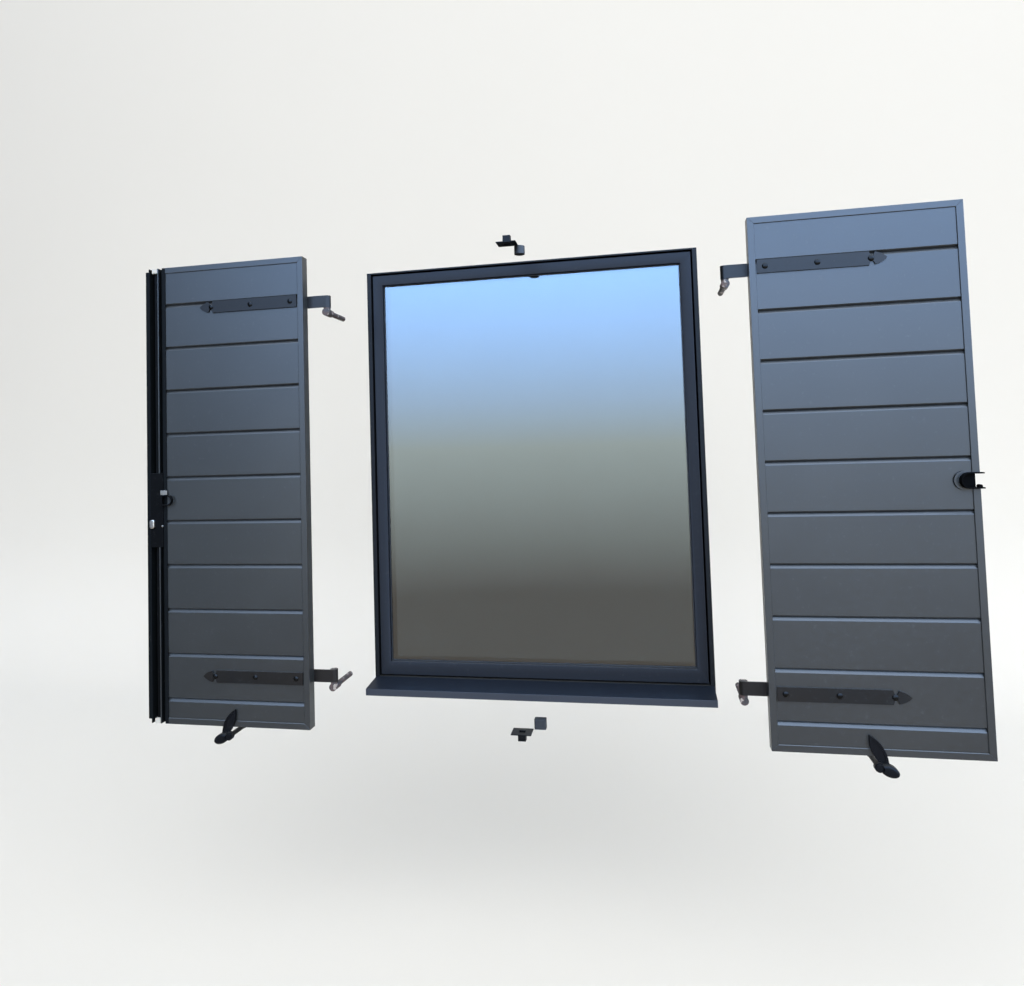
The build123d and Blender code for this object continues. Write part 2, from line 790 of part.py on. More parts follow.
with BuildPart() as sash:
    jamb = sash_width + bead_width
    lip = ring(sash_half, sash_bottom, sash_top, jamb, jamb, sash_foot)
    pocket_width = jamb - glass_cover - glass_play
    pocket = ring(sash_half, sash_bottom, sash_top, pocket_width, pocket_width,
                  sash_foot - glass_cover - glass_play)
    flange = ring(sash_half + sash_overlap, sash_bottom - sash_overlap, sash_top + sash_overlap,
                  jamb + sash_overlap, jamb + sash_overlap, sash_foot + sash_overlap)
    extrude(facade_plane(glass_front) * lip, amount=glass_front - sash_front)
    extrude(facade_plane(glass_back) * pocket, amount=glass_thickness)
    extrude(facade_plane(sash_back) * lip, amount=sash_back - glass_back)
    extrude(facade_plane(sash_back + overlap_thickness) * flange, amount=overlap_thickness)
    rim = sash.faces().sort_by(Axis.Y)[0].inner_wires()[0].edges()
    chamfer(rim, length=bead_depth, length2=bead_width - bead_edge)
save(sash.part, "window_sash")

with BuildPart() as gasket:
    face = ring(light_half - seat_play, light_bottom + seat_play, light_top - seat_play,
                gasket_width, gasket_width, gasket_width)
    extrude(facade_plane(glass_front - seat_play) * face, amount=gasket_thickness)
save(gasket.part, "glazing_gasket")

with BuildPart() as glazing:
    with BuildSketch(facade_plane(glass_back)):
        with Locations((0, (light_bottom + light_top) / 2)):
            Rectangle(2 * (light_half + glass_cover), light_top - light_bottom + 2 * glass_cover)
    extrude(amount=glass_thickness)
save(glazing.part, "glazing_unit")

# Sill: a folded sheet sloping outwards to a drip edge
with BuildPart() as sill:
    with BuildSketch(section_plane(-opening_half_width + sill_end_gap)):
        with BuildLine():
            back = frame_front - seat_play
            Polyline([
                (sill_front, sill_front_top - sill_lip), (sill_front, sill_front_top),
                (back, sill_back_top), (back, sill_back_top - sill_sheet),
                (sill_front + sill_sheet, sill_front_top - sill_sheet),
                (sill_front + sill_sheet, sill_front_top - sill_lip),
            ], close=True)
        make_face()
    extrude(amount=2 * (opening_half_width - sill_end_gap))
save(sill.part, "sill")

# Rod keepers: a slotted plate with a cup behind it, one in the lintel and one in the ledge
keeper_x = -(opening_half_width - jamb_gap) + rod_s
keeper_y = 2 * axis_y - rod_y
keeper_cup = rod_travel + lintel_gap
with BuildPart() as keepers:
    slot_length = rod_width + 2 * keeper_slot_play
    slot_depth = rod_thickness + 2 * keeper_slot_play
    for level, way in ((leaf_top + lintel_gap, 1), (leaf_bottom - ledge_gap, -1)):
        start = level if way > 0 else level - keeper_thickness
        with BuildSketch(Plane.XY.offset(start)):
            with Locations((keeper_x, keeper_y)):
                Rectangle(keeper_length, keeper_depth)
                Rectangle(slot_length, slot_depth, mode=Mode.SUBTRACT)
        extrude(amount=keeper_thickness)
        start = level if way > 0 else level - keeper_cup
        with BuildSketch(Plane.XY.offset(start)):
            with Locations((keeper_x, keeper_y)):
                Rectangle(slot_length + 2 * keeper_wall, slot_depth + 2 * keeper_wall)
                Rectangle(slot_length, slot_depth, mode=Mode.SUBTRACT)
        extrude(amount=keeper_cup)
save(keepers.part, "rod_keepers")

# Stops that the closed leaves come to rest against
with BuildPart() as stops:
    with BuildSketch(Plane.XY.offset(leaf_bottom - ledge_gap)):
        with Locations((stop_x, closed_inner_face + stop_play + stop_depth / 2)):
            RectangleRounded(stop_length, stop_depth, stop_round)
    extrude(amount=stop_height)
    with BuildSketch(Plane.XY.offset(leaf_top + lintel_gap - plug_height)):
        with Locations((plug_x, closed_inner_face + stop_play + plug_radius)):
            Circle(plug_radius)
    extrude(amount=plug_height)
save(stops.part, "leaf_stops")
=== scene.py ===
import json
from math import cos, pi, radians, sin

import bmesh
import bpy
from mathutils import Matrix, Vector

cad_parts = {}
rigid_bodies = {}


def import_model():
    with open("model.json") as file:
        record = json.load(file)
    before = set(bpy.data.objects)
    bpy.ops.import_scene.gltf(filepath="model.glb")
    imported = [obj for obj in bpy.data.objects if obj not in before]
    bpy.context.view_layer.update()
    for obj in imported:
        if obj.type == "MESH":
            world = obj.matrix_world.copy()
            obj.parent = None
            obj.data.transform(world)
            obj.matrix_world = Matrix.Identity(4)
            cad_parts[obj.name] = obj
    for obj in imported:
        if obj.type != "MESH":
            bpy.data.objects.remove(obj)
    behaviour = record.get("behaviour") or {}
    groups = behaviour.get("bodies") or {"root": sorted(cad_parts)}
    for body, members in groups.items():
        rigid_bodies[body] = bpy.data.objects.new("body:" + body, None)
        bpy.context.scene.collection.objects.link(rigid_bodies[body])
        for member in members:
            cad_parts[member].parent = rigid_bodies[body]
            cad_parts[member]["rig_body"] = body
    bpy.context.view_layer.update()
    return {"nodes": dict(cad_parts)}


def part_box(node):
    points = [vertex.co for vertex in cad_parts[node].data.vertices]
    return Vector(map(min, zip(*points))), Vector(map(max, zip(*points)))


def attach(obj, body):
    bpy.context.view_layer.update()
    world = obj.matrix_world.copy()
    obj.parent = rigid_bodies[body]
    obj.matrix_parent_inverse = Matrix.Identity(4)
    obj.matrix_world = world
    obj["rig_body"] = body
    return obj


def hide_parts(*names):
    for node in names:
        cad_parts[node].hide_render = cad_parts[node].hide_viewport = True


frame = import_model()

bl_info = {
    "name": "Window shutters",
    "version": (1, 0, 0),
    "blender": (4, 5, 0),
    "location": "View3D > Sidebar > Shutters",
    "description": "Dresses a pair of board shutters and their window frame",
    "category": "Object",
}

# Metres from one spot to the next in each material's pattern
TONE_DRIFT = 0.30
FLECK = 0.012
RUST_BLOT = 0.018
MORTAR_DROP = 0.013
FORGED_GRAIN = 0.0025
PLATING_CLOUD = 0.006
PLASTIC_CLOUD = 0.03
PLASTIC_GRAIN = 0.0012
GLASS_FILM = 0.16

# Edges that turn by more than the first angle are rounded, those under the second shade smoothly, and
# those under the third are taken out
ROUNDED_OVER = radians(30)
SMOOTH_UNDER = radians(40)
FLAT_UNDER = radians(0.5)

# Steps round a circle and over a dome, and sides of a nut
ROUND_STEPS = 32
DOME_STEPS = 8
NUT_SIDES = 6

# Metres within which two points are one, and within which two faces are level
SAME_PLACE = 1e-6
SAME_LEVEL = 1e-4

# A face looks along an axis when its normal's share of that axis is over this
SQUARE_ON = 0.9


def linear(code):
    """An sRGB hex colour as the linear values that Blender's sockets take."""
    parts = [int(code[i:i + 2], 16) / 255 for i in (0, 2, 4)]
    return tuple(c / 12.92 if c <= 0.04045 else ((c + 0.055) / 1.055) ** 2.4 for c in parts)


def colour(name, description, code):
    """A colour setting with its default as an sRGB hex value."""
    return bpy.props.FloatVectorProperty(name=name, description=description, subtype="COLOR", size=3,
                                         min=0.0, max=1.0, default=linear(code))


def length(name, description, metres):
    """A length setting in metres."""
    return bpy.props.FloatProperty(name=name, description=description, unit="LENGTH", min=0.0,
                                   default=metres)


def place(name, description, metres):
    """A coordinate setting in metres, on either side of zero."""
    return bpy.props.FloatProperty(name=name, description=description, unit="LENGTH", default=metres)


def turn(name, description, angle):
    """An angle setting in radians."""
    return bpy.props.FloatProperty(name=name, description=description, subtype="ANGLE", default=angle)


def amount(name, description, value):
    """A setting without a unit."""
    return bpy.props.FloatProperty(name=name, description=description, default=value)


class ShutterLeafSettings(bpy.types.PropertyGroup):
    """Sizes and colours of the two leaves."""
    coat: colour("Coat", "Powder coat of the boards and profiles", "2F3336")
    coat_shade: colour("Coat shade", "The darker tone that the coat drifts to", "292D30")
    dust: colour("Dust", "Fine dust that lies on the upward faces", "8A8C8A")
    # Painted shade: the lock stile shade is a darker copy of the leaves' coat, standing in for the shade in
    # the rod channel, the latch groove and along the astragal
    lock_stile_shade: colour("Lock stile coat", "The darker lining of the lock stile and the astragal", "0C0F11")
    edge_round: length("Edge rounding", "Radius of the extruded profiles' edges", 0.0006)
    groove_round: length("Groove rounding", "Radius along the boards' V-grooves", 0.0008)
    peel: length("Orange peel", "Distance between two dimples of the sprayed coat", 0.004)
    fin_offset: length("Fin offset", "From the lock stile's free edge to its fin's middle", 0.02825)
    fin_width: length("Fin width", "Thickness of the fin between latch groove and rod channel", 0.0036)
    stile_back: length("Back depth", "How far behind its front the lock stile's back is plain", 0.026)


class ShutterHardwareSettings(bpy.types.PropertyGroup):
    """Sizes and colours of the straps, bolts, pintles, holdbacks, lock and catch."""
    strap: colour("Strap coat", "Coat of the flat steel straps", "0A0B0C")
    strap_scuff: colour("Strap scuff", "Dull rub marks on the straps", "14100C")
    cast: colour("Cast coat", "Coat of the cast holdbacks and the rod keepers", "0C0E12")
    bolt: colour("Bolt coat", "Coat of the dome bolts", "050607")
    # The lock coat is the real black of the lock and rods; in the catch's pocket it is black plastic and
    # also painted shade of a deeper pocket
    lock: colour("Lock coat", "Black coat of the lock, the rods and the catch's pocket", "030303")
    iron: colour("Iron", "Painted iron of the pintles", "23211F")
    rust: colour("Rust", "Rust that comes through the pintles' paint", "54413A")
    mortar: colour("Mortar", "Splashes of mortar on the pintles", "A9A29C")
    plating: colour("Plating", "Bright plating of the latch tongue and the screw", "BDB6AC")
    nylon: colour("Nylon", "Pale nylon of the rod guides", "E2E3E0")
    edge_round: length("Edge rounding", "Radius of the straps' rolled edges", 0.0008)
    peel: length("Orange peel", "Distance between two dimples of the sprayed coat", 0.003)
    catch_rim: length("Catch rim", "How far the catch's rim stands out from its flange", 0.0125)
    catch_flange: length("Catch flange", "How far at most the flange's middle lies from its edge", 0.017)
    bolt_dome: length("Dome radius", "Radius of the bolts' domed heads", 0.007)
    bolt_head: length("Dome height", "Height of the bolts' domed heads", 0.003)
    bolt_radius: length("Bolt radius", "Radius of the bolts' shafts", 0.004)
    bolt_across: length("Nut size", "Width of the hexagon nuts over their corners", 0.015)
    nut_height: length("Nut height", "Height of nut and washer together", 0.005)
    nut_bevel: length("Nut bevel", "Bevel round a nut's outer face", 0.0008)
    washer: length("Washer", "Thickness of the washers", 0.001)


class ShutterWindowSettings(bpy.types.PropertyGroup):
    """Sizes and colours of the window frame, the glass and the sill."""
    coat: colour("Window coat", "Coat of the sash", "1C212A")
    # Painted shade: the outer frame's coat is darker than the sash's, standing in for the shadow of the
    # wall's reveal
    framing_coat_and_shade: colour("Frame coat", "Coat of the outer frame", "0E1013")
    rubber: colour("Rubber", "Gaskets and stops", "0E0E0F")
    spacer: colour("Spacer bar", "The bar between the two panes", "2B2D2F")
    glass: colour("Glass", "Body tint and metal coating of one pane", "8F989D")
    # Painted shade: the sill coat is dark for the shadow that the reveal casts on the sill; the lip's paler
    # coat is the sill's own coat, where no shade is painted
    sill: colour("Sill coat", "Coat of the sill's folded sheet", "141B27")
    sill_lip: colour("Sill lip", "Paler, chalked coat of the sill's front lip", "2E3541")
    pane: length("Pane", "Thickness of one pane", 0.004)
    seal: length("Seal", "Width of the dark seal round the spacer bar", 0.005)
    bar: length("Bar", "Width of the spacer bar", 0.008)
    edge_round: length("Edge rounding", "Radius of the frame's edges", 0.0006)
    peel: length("Orange peel", "Distance between two dimples of the sprayed coat", 0.004)


class ShutterStageSettings(bpy.types.PropertyGroup):
    """Camera, sky and floor."""
    floor: colour("Floor", "Floor and backdrop", "EBEBE9")
    floor_level: place("Floor level", "Height of the floor", -1.25)
    sky: colour("Sky", "Even light from above", "B6B7B8")
    ground: colour("Ground", "Dim light from below", "5A5855")
    mirror_low: colour("Mirrored ground", "What coats and glass mirror from below", "46403A")
    mirror_level: colour("Mirrored horizon", "What they mirror from the front", "868984")
    mirror_high: colour("Mirrored sky", "What they mirror from the lower sky", "9CC6FF")
    mirror_top: colour("Mirrored zenith", "What they mirror from above", "AEB9C8")
    dome_radius: length("Dome radius", "Radius of the dome that gives the light", 12.0)
    mirror_strength: amount("Mirrored strength", "Brightness of what is mirrored", 11.0)
    field: colour("Bright field", "Tone of the brightest part of the light", "FFFEFB")
    field_strength: amount("Field strength", "Brightness of the bright field", 1.9)
    field_edge: turn("Field edge", "Angle at which the bright field ends", radians(60))
    field_core: turn("Field core", "Angle within which it is brightest", radians(20))
    bright_way: bpy.props.FloatVectorProperty(name="Field way", description="Way to the bright field",
                                              subtype="DIRECTION", size=3, default=(0.26, -0.80, 0.56))
    camera_x: place("Camera across", "Camera's place across the window", 0.30443)
    camera_y: place("Camera distance", "Camera's place out from the wall", -1.77355)
    camera_z: place("Camera height", "Camera's height over the leaves' middle", 0.09281)
    yaw: turn("Yaw", "Turn of the camera to the left", 0.18264)
    pitch: turn("Pitch", "Upward tilt of the camera", 0.04630)
    roll: turn("Roll", "Sideways lean of the camera", 0.03137)
    lens: bpy.props.FloatProperty(name="Lens", description="Focal length on the camera's sensor",
                                  subtype="DISTANCE_CAMERA", default=24.609)
    sensor: bpy.props.FloatProperty(name="Sensor", description="Width of the camera's sensor",
                                    subtype="DISTANCE_CAMERA", default=36.0)
    shift: amount("Shift", "Upright shift of the picture, in picture widths", -0.07599)


# Materials

def put(tree, kind, sockets=None, **own):
    """Add a node, set its own settings, and fill or link its sockets by name or number."""
    node = tree.nodes.new(kind)
    for key, value in own.items():
        setattr(node, key, value)
    for key, value in (sockets or {}).items():
        if isinstance(value, bpy.types.NodeSocket):
            tree.links.new(value, node.inputs[key])
        else:
            node.inputs[key].default_value = value
    return node


def rgba(values):
    """A colour setting as the four values that a socket takes."""
    return (*values, 1.0)


def new_material(name):
    """An empty material with its node tree, the surface shader and object coordinates."""
    material = bpy.data.materials.new(name)
    material.use_nodes = True
    tree = material.node_tree
    tree.nodes.clear()
    shader = put(tree, "ShaderNodeBsdfPrincipled")
    put(tree, "ShaderNodeOutputMaterial", {"Surface": shader.outputs[0]})
    where = put(tree, "ShaderNodeTexCoord").outputs["Object"]
    return material, tree, shader, where


def coated_metal(name, base, shade, dust, roughness, peel, dust_amount=0.5, sheen=0.5):
    """Powder-coated metal: dry colour sprayed on and baked. It gives the eye a satin sheen with a fine
    orange peel, a slow drift of tone and gloss, small dull flecks, and pale dust on what faces up. Matt
    black coats have a low sheen."""
    material, tree, shader, where = new_material(name)
    shader.inputs["Specular IOR Level"].default_value = sheen
    drift = put(tree, "ShaderNodeTexNoise", {"Vector": where, "Scale": 1 / TONE_DRIFT, "Detail": 3.0})
    spread = put(tree, "ShaderNodeMapRange", {"Value": drift.outputs["Fac"], "From Min": 0.35,
                                              "From Max": 0.65})
    paint = put(tree, "ShaderNodeMix", {"Factor": spread.outputs[0], "A": rgba(base), "B": rgba(shade)},
                data_type="RGBA")
    flecks = put(tree, "ShaderNodeTexNoise", {"Vector": where, "Scale": 1 / FLECK, "Detail": 5.0,
                                              "Roughness": 0.7})
    spots = put(tree, "ShaderNodeMapRange", {"Value": flecks.outputs["Fac"], "From Min": 0.60,
                                             "From Max": 0.72, "To Max": 0.06})
    facing = put(tree, "ShaderNodeSeparateXYZ", {0: put(tree, "ShaderNodeNewGeometry").outputs["Normal"]})
    upward = put(tree, "ShaderNodeMapRange", {"Value": facing.outputs["Z"], "From Min": 0.7,
                                              "From Max": 1.0, "To Max": dust_amount})
    lying = put(tree, "ShaderNodeMath", {0: upward.outputs[0], 1: flecks.outputs["Fac"],
                                         2: spots.outputs[0]}, operation="MULTIPLY_ADD")
    dusted = put(tree, "ShaderNodeMix", {"Factor": lying.outputs[0], "A": paint.outputs["Result"],
                                         "B": rgba(dust)}, data_type="RGBA")
    gloss = put(tree, "ShaderNodeMapRange", {"Value": flecks.outputs["Fac"], "From Min": 0.3,
                                             "From Max": 0.7, "To Min": roughness - 0.03,
                                             "To Max": roughness + 0.05})
    dimples = put(tree, "ShaderNodeTexNoise", {"Vector": where, "Scale": 1 / peel, "Detail": 2.0})
    bump = put(tree, "ShaderNodeBump", {"Height": dimples.outputs["Fac"], "Strength": 0.08,
                                        "Distance": 0.0003})
    for key, output in (("Base Color", dusted.outputs["Result"]), ("Roughness", gloss.outputs[0]),
                        ("Normal", bump.outputs[0])):
        tree.links.new(output, shader.inputs[key])
    return material


def rusty_iron(name, paint, rust, mortar):
    """Forged iron under old black paint. Rust comes through in blots, dull and rough where it does, and
    a few pale splashes of mortar stick to it."""
    material, tree, shader, where = new_material(name)
    blots = put(tree, "ShaderNodeTexNoise", {"Vector": where, "Scale": 1 / RUST_BLOT, "Detail": 6.0,
                                             "Roughness": 0.65})
    worn = put(tree, "ShaderNodeMapRange", {"Value": blots.outputs["Fac"], "From Min": 0.44,
                                            "From Max": 0.58})
    rusted = put(tree, "ShaderNodeMix", {"Factor": worn.outputs[0], "A": rgba(paint), "B": rgba(rust)},
                 data_type="RGBA")
    drops = put(tree, "ShaderNodeTexNoise", {"Vector": where, "Scale": 1 / MORTAR_DROP, "Detail": 3.0})
    stuck = put(tree, "ShaderNodeMapRange", {"Value": drops.outputs["Fac"], "From Min": 0.60,
                                             "From Max": 0.66})
    mixed = put(tree, "ShaderNodeMix", {"Factor": stuck.outputs[0], "A": rusted.outputs["Result"],
                                        "B": rgba(mortar)}, data_type="RGBA")
    gloss = put(tree, "ShaderNodeMapRange", {"Value": worn.outputs[0], "To Min": 0.45, "To Max": 0.85})
    grain = put(tree, "ShaderNodeTexNoise", {"Vector": where, "Scale": 1 / FORGED_GRAIN, "Detail": 4.0})
    bump = put(tree, "ShaderNodeBump", {"Height": grain.outputs["Fac"], "Strength": 0.35,
                                        "Distance": 0.0006})
    for key, output in (("Base Color", mixed.outputs["Result"]), ("Roughness", gloss.outputs[0]),
                        ("Normal", bump.outputs[0])):
        tree.links.new(output, shader.inputs[key])
    return material


def plated_steel(name, plating):
    """Plated steel: a thin bright film of nickel, warm in tone and slightly cloudy in its gloss."""
    material, tree, shader, where = new_material(name)
    shader.inputs["Metallic"].default_value = 1.0
    cloud = put(tree, "ShaderNodeTexNoise", {"Vector": where, "Scale": 1 / PLATING_CLOUD, "Detail": 3.0})
    dull = tuple(c * 0.6 for c in plating)
    mixed = put(tree, "ShaderNodeMix", {"Factor": cloud.outputs["Fac"], "A": rgba(plating),
                                        "B": rgba(dull)}, data_type="RGBA")
    gloss = put(tree, "ShaderNodeMapRange", {"Value": cloud.outputs["Fac"], "To Min": 0.22,
                                             "To Max": 0.42})
    for key, output in (("Base Color", mixed.outputs["Result"]), ("Roughness", gloss.outputs[0])):
        tree.links.new(output, shader.inputs[key])
    return material


def moulded_plastic(name, base, roughness, subsurface=0.0):
    """Moulded plastic or rubber: even in colour, with a faint cloud and a spark-eroded grain."""
    material, tree, shader, where = new_material(name)
    shader.inputs["Subsurface Weight"].default_value = subsurface
    cloud = put(tree, "ShaderNodeTexNoise", {"Vector": where, "Scale": 1 / PLASTIC_CLOUD, "Detail": 3.0})
    shade = tuple(c * 0.72 for c in base)
    mixed = put(tree, "ShaderNodeMix", {"Factor": cloud.outputs["Fac"], "A": rgba(base),
                                        "B": rgba(shade)}, data_type="RGBA")
    grain = put(tree, "ShaderNodeTexNoise", {"Vector": where, "Scale": 1 / PLASTIC_GRAIN, "Detail": 2.0})
    gloss = put(tree, "ShaderNodeMapRange", {"Value": grain.outputs["Fac"], "To Min": roughness - 0.06,
                                             "To Max": roughness + 0.06})
    bump = put(tree, "ShaderNodeBump", {"Height": grain.outputs["Fac"], "Strength": 0.15,
                                        "Distance": 0.0002})
    for key, output in (("Base Color", mixed.outputs["Result"]), ("Roughness", gloss.outputs[0]),
                        ("Normal", bump.outputs[0])):
        tree.links.new(output, shader.inputs[key])
    return material


def coated_glass(name, tint):
    """Float glass with a sun-control coating, a metal film far thinner than a hair: it mirrors the sky a
    little, darkens what is behind, and carries a faint film of dust that shows as haze."""
    material, tree, shader, where = new_material(name)
    shader.inputs["Transmission Weight"].default_value = 1.0
    shader.inputs["IOR"].default_value = 1.52
    shader.inputs["Metallic"].default_value = 0.2
    film = put(tree, "ShaderNodeTexNoise", {"Vector": where, "Scale": 1 / GLASS_FILM, "Detail": 5.0})
    body = put(tree, "ShaderNodeMix", {"Factor": film.outputs["Fac"], "A": rgba(tint),
                                       "B": rgba([c * 0.94 for c in tint])}, data_type="RGBA")
    haze = put(tree, "ShaderNodeMapRange", {"Value": film.outputs["Fac"], "From Min": 0.45,
                                            "From Max": 0.8, "To Max": 0.015})
    tree.links.new(body.outputs["Result"], shader.inputs["Base Color"])
    tree.links.new(haze.outputs[0], shader.inputs["Roughness"])
    return material


# Meshes

def settings(kind):
    """One of the setting groups held by the scene."""
    return getattr(bpy.context.scene, kind)


def body_of(node):
    """The body that a CAD node belongs to."""
    return frame["nodes"][node]["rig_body"]


def soften(obj, width):
    """Round an object's sharp edges."""
    bevel = obj.modifiers.new("rounding", "BEVEL")
    bevel.width = width
    bevel.segments = 2
    bevel.limit_method = "ANGLE"
    bevel.angle_limit = ROUNDED_OVER
    bevel.harden_normals = True
    for polygon in obj.data.polygons:
        polygon.use_smooth = True


def link_for(obj, node):
    """Show an object in a CAD node's place and on its body."""
    bpy.context.scene.collection.objects.link(obj)
    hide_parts(node)
    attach(obj, body_of(node))
    return obj


def rounded(node, name, width, material, second=None, chosen=None):
    """A copy of a CAD node with its edges rounded, shown in the node's place. Faces that are chosen by
    their middle and normal take the second material."""
    mesh = frame["nodes"][node].data.copy()
    if "custom_normal" in mesh.attributes:
        mesh.attributes.remove(mesh.attributes["custom_normal"])
    mesh.materials.clear()
    mesh.materials.append(material)
    if second:
        mesh.materials.append(second)
    shape = bmesh.new()
    shape.from_mesh(mesh)
    bmesh.ops.remove_doubles(shape, verts=shape.verts, dist=SAME_PLACE)
    bmesh.ops.dissolve_limit(shape, angle_limit=FLAT_UNDER, verts=shape.verts, edges=shape.edges)
    for face in shape.faces:
        face.material_index = 1 if chosen and chosen(face.calc_center_median(), face.normal) else 0
    shape.to_mesh(mesh)
    shape.free()
    obj = bpy.data.objects.new(name, mesh)
    soften(obj, width)
    return link_for(obj, node)


def turned(shape, profile, centre, steps):
    """Turn a profile of (depth, radius) pairs round a line along Y through the centre."""
    rings = []
    for depth, radius in profile:
        ring = []
        for step in range(steps):
            angle = 2 * pi * step / steps
            across, up = radius * cos(angle), radius * sin(angle)
            ring.append(shape.verts.new((centre[0] + across, depth, centre[1] + up)))
        rings.append(ring)
    for near, far in zip(rings, rings[1:]):
        for step in range(steps):
            after = (step + 1) % steps
            shape.faces.new((near[step], near[after], far[after], far[step]))
    shape.faces.new(rings[0])
    shape.faces.new(reversed(rings[-1]))


def made(name, shape, material, node, width=0.0):
    """Turn a bmesh into a finished object in a CAD node's place."""
    bmesh.ops.recalc_face_normals(shape, faces=shape.faces)
    mesh = bpy.data.meshes.new(name)
    shape.to_mesh(mesh)
    shape.free()
    mesh.materials.append(material)
    obj = bpy.data.objects.new(name, mesh)
    if width:
        soften(obj, width)
    else:
        mesh.shade_smooth()
        mesh.set_sharp_from_angle(angle=SMOOTH_UNDER)
    return link_for(obj, node)


def ring_frame(shape, low, high, width, front, back):
    """A rectangular ring in the window's plane, between two depths."""
    corners = []
    for inset in (0.0, width):
        corners.append([(low[0] + inset, low[1] + inset), (high[0] - inset, low[1] + inset),
                        (high[0] - inset, high[1] - inset), (low[0] + inset, high[1] - inset)])
    loops = [[shape.verts.new((x, y, z)) for x, z in corner] for corner in corners for y in (front, back)]
    outer_front, outer_back, inner_front, inner_back = loops
    for a, b in ((outer_front, outer_back), (outer_back, inner_back), (inner_back, inner_front),
                 (inner_front, outer_front)):
        for step in range(4):
            after = (step + 1) % 4
            shape.faces.new((a[step], a[after], b[after], b[step]))


class OBJECT_OT_shutter_leaves(bpy.types.Operator):
    """Boards and profiles of the two leaves, with rounded edges and their powder coat, and painted shade on
    the lock stile and the astragal
    """
    bl_idname = "object.shutter_leaves"
    bl_label = "Leaves"

    def execute(self, context):
        s = settings("shutter_leaf")
        coat = coated_metal("powder_coated_leaf", s.coat, s.coat_shade, s.dust, roughness=0.33,
                            peel=s.peel)
        # The lock stile and the astragal take this darker coat as painted shade of their channel, groove and
        # edge; the fin's front edge and the stile's back keep the leaves' coat
        painted_shade = coated_metal("lock_stile_shade_paint", s.lock_stile_shade, s.lock_stile_shade, s.dust, roughness=0.55,
                              peel=s.peel, dust_amount=0.15, sheen=0.06)
        for node in sorted(frame["nodes"]):
            if "_board_" in node:
                rounded(node, f"{node}_rounded", s.groove_round, coat)
            elif node.endswith(("_stile", "_rail")) and node != "lock_stile":
                rounded(node, f"{node}_rounded", s.edge_round, coat)
        rounded("astragal", "astragal_rounded", s.edge_round, painted_shade)
        edge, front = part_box("lock_stile")[0][:2]
        rounded("lock_stile", "lock_stile_rounded", s.edge_round, painted_shade, coat,
                lambda middle, normal: self.pale(middle, normal, edge, front, s))
        return {"FINISHED"}

    def pale(self, middle, normal, edge, front, s):
        """True for the back of the lock stile and for the fin's front edge between groove and channel. These
        keep the leaves' coat; every other face takes the painted shade.
        """
        on_fin = (abs(middle.x - edge - s.fin_offset) < s.fin_width / 2
                  and abs(middle.y - front) < SAME_LEVEL)
        on_back = normal.y > SQUARE_ON and middle.y > front + s.stile_back
        return on_fin or on_back


class OBJECT_OT_shutter_straps(bpy.types.Operator):
    """Strap hinges, counter-straps and the bolts through them"""
    bl_idname = "object.shutter_straps"
    bl_label = "Straps and bolts"

    def execute(self, context):
        s = settings("shutter_hardware")
        dust = settings("shutter_leaf").dust
        strap = coated_metal("coated_strap", s.strap, s.strap_scuff, dust, roughness=0.40, peel=s.peel,
                             dust_amount=0.3, sheen=0.26)
        bolt = coated_metal("coated_bolt", s.bolt, s.bolt, dust, roughness=0.30, peel=s.peel,
                            dust_amount=0.2, sheen=0.14)
        for node in sorted(frame["nodes"]):
            if node.endswith("_strap"):
                rounded(node, f"{node}_rounded", s.edge_round, strap)
            elif node.endswith("_bolts"):
                self.bolts(node, s, bolt)
        return {"FINISHED"}

    def bolts(self, node, s, material):
        """Coach bolts: a low dome on the inside, a washer and a hexagon nut on the wall side."""
        low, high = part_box(node)
        reach = s.bolt_across / 2
        shape = bmesh.new()
        angles = [pi / 2 * step / DOME_STEPS for step in range(1, DOME_STEPS + 1)]
        dome = [(low[1] + s.bolt_head * (1 - cos(angle)), s.bolt_dome * sin(angle)) for angle in angles]
        shaft = [(low[1] + s.bolt_head, s.bolt_radius), (high[1], s.bolt_radius)]
        washer = [(high[1] - s.nut_height, reach), (high[1] - s.nut_height + s.washer, reach)]
        nut = [(high[1] - s.nut_height + s.washer, reach), (high[1] - s.nut_bevel, reach),
               (high[1], reach - s.nut_bevel)]
        for x in (low[0] + reach, (low[0] + high[0]) / 2, high[0] - reach):
            for z in (low[2] + reach, high[2] - reach):
                turned(shape, dome + shaft, (x, z), ROUND_STEPS)
                turned(shape, washer, (x, z), ROUND_STEPS)
                turned(shape, nut, (x, z), NUT_SIDES)
        made(f"{node}_turned", shape, material, node)


class OBJECT_OT_shutter_wall_irons(bpy.types.Operator):
    """What the wall carries: holdbacks on their shanks, rod keepers, pintles and leaf stops"""
    bl_idname = "object.shutter_wall_irons"
    bl_label = "Wall irons"

    def execute(self, context):
        s = settings("shutter_hardware")
        dust = settings("shutter_leaf").dust
        cast = coated_metal("coated_casting", s.cast, s.cast, dust, roughness=0.42, peel=s.peel,
                            dust_amount=0.2, sheen=0.10)
        iron = rusty_iron("painted_iron", s.iron, s.rust, s.mortar)
        rubber = moulded_plastic("moulded_rubber_stop", settings("shutter_window").rubber, roughness=0.6)
        for node in ("left_holdback", "right_holdback", "holdback_shanks", "rod_keepers"):
            rounded(node, f"{node}_rounded", s.edge_round / 2, cast)
        rounded("pintles", "pintles_rounded", s.edge_round, iron)
        rounded("leaf_stops", "leaf_stops_rounded", s.edge_round, rubber)
        return {"FINISHED"}


